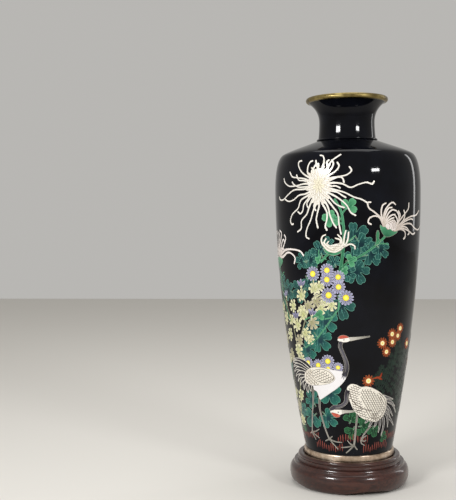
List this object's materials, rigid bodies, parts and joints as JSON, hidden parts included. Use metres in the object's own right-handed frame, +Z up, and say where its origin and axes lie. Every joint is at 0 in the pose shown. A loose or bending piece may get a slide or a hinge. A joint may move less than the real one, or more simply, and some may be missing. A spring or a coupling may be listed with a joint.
{
  "type": "cloisonne vase on a stand",
  "caption": "Shouldered cloisonne enamel vase with a short trumpet neck and metal rims, standing in the recess of a low round hardwood stand with bracket feet.",
  "frame": {"origin": "centre of the stand's underside, on the surface the stand's feet rest on", "axes": "+Z up along the vase's axis; -Y towards the viewer, the side that carries the cranes; +X to the viewer's right"},
  "size_m": [0.0976, 0.0976, 0.26],
  "materials": {
    "wood_base": "satin",
    "wood_board": "satin",
    "wood_collar": "satin",
    "foot_brass": "polished",
    "rim_brass": "polished",
    "copper": "satin",
    "lining_enamel": "gloss",
    "black_enamel": "gloss",
    "white_enamel": "gloss",
    "blush_enamel": "gloss",
    "stem_enamel": "gloss",
    "violet_enamel": "gloss",
    "teal_enamel": "gloss",
    "pale_green_enamel": "gloss",
    "crane_enamel": "gloss",
    "red_enamel": "gloss",
    "dark_green_enamel": "gloss",
    "russet_enamel": "gloss"
  },
  "bodies": {
    "stand": {"stand_base": "wood_base", "stand_board": "wood_board", "stand_collar": "wood_collar"},
    "vase": {"foot_ring": "foot_brass", "copper_body": "copper", "base_plate": "copper", "copper_neck": "copper", "rim_ring": "rim_brass", "inner_lining": "lining_enamel", "base_enamel": "lining_enamel", "ground_enamel": "black_enamel", "spider_chrysanthemum": "white_enamel", "side_chrysanthemum": "blush_enamel", "far_chrysanthemum": "blush_enamel", "opening_chrysanthemum": "white_enamel", "chrysanthemum_stems": "stem_enamel", "upper_asters": "violet_enamel", "lower_asters": "violet_enamel", "green_leaves": "teal_enamel", "pale_leaves": "pale_green_enamel", "standing_crane": "crane_enamel", "bending_crane": "crane_enamel", "red_daisies": "red_enamel", "daisy_foliage": "dark_green_enamel", "ground_grass": "russet_enamel"}
  },
  "joints": [
    {"name": "vase_lift", "type": "slide", "parent": "stand", "child": "vase", "axis": [0, 0, 1], "range_m": [0, 0.04]}
  ]
}
